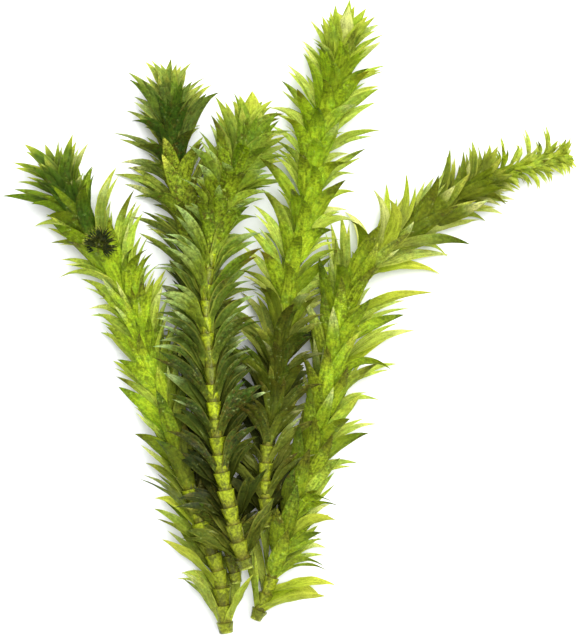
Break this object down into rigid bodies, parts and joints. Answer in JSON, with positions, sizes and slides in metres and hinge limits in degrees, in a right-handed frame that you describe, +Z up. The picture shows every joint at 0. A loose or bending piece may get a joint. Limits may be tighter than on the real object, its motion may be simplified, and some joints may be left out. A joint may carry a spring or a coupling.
{
  "type": "brazilian waterweed",
  "caption": "Loose bunch of Brazilian waterweed: leafy cut stems with whorled strap leaves, lying with their cut ends together and their heads fanned out.",
  "frame": {"origin": "middle of the bounding box's base, on the surface that the bunch lies on", "axes": "+Y from the cut ends to the heads, +Z up from the surface, +X to the right seen from above"},
  "size_m": [0.1616, 0.178, 0.0269],
  "materials": {
    "bright_leaf": null,
    "dark_leaf": null,
    "mottled_leaf": null,
    "young_leaf": null
  },
  "bodies": {
    "root": {"left_stem": "bright_leaf", "left_side_bud": "dark_leaf", "dark_stem": "dark_leaf", "centre_stem": "bright_leaf", "tall_stem": "bright_leaf", "right_stem": "mottled_leaf", "right_tip_shoot": "young_leaf"}
  },
  "joints": []
}
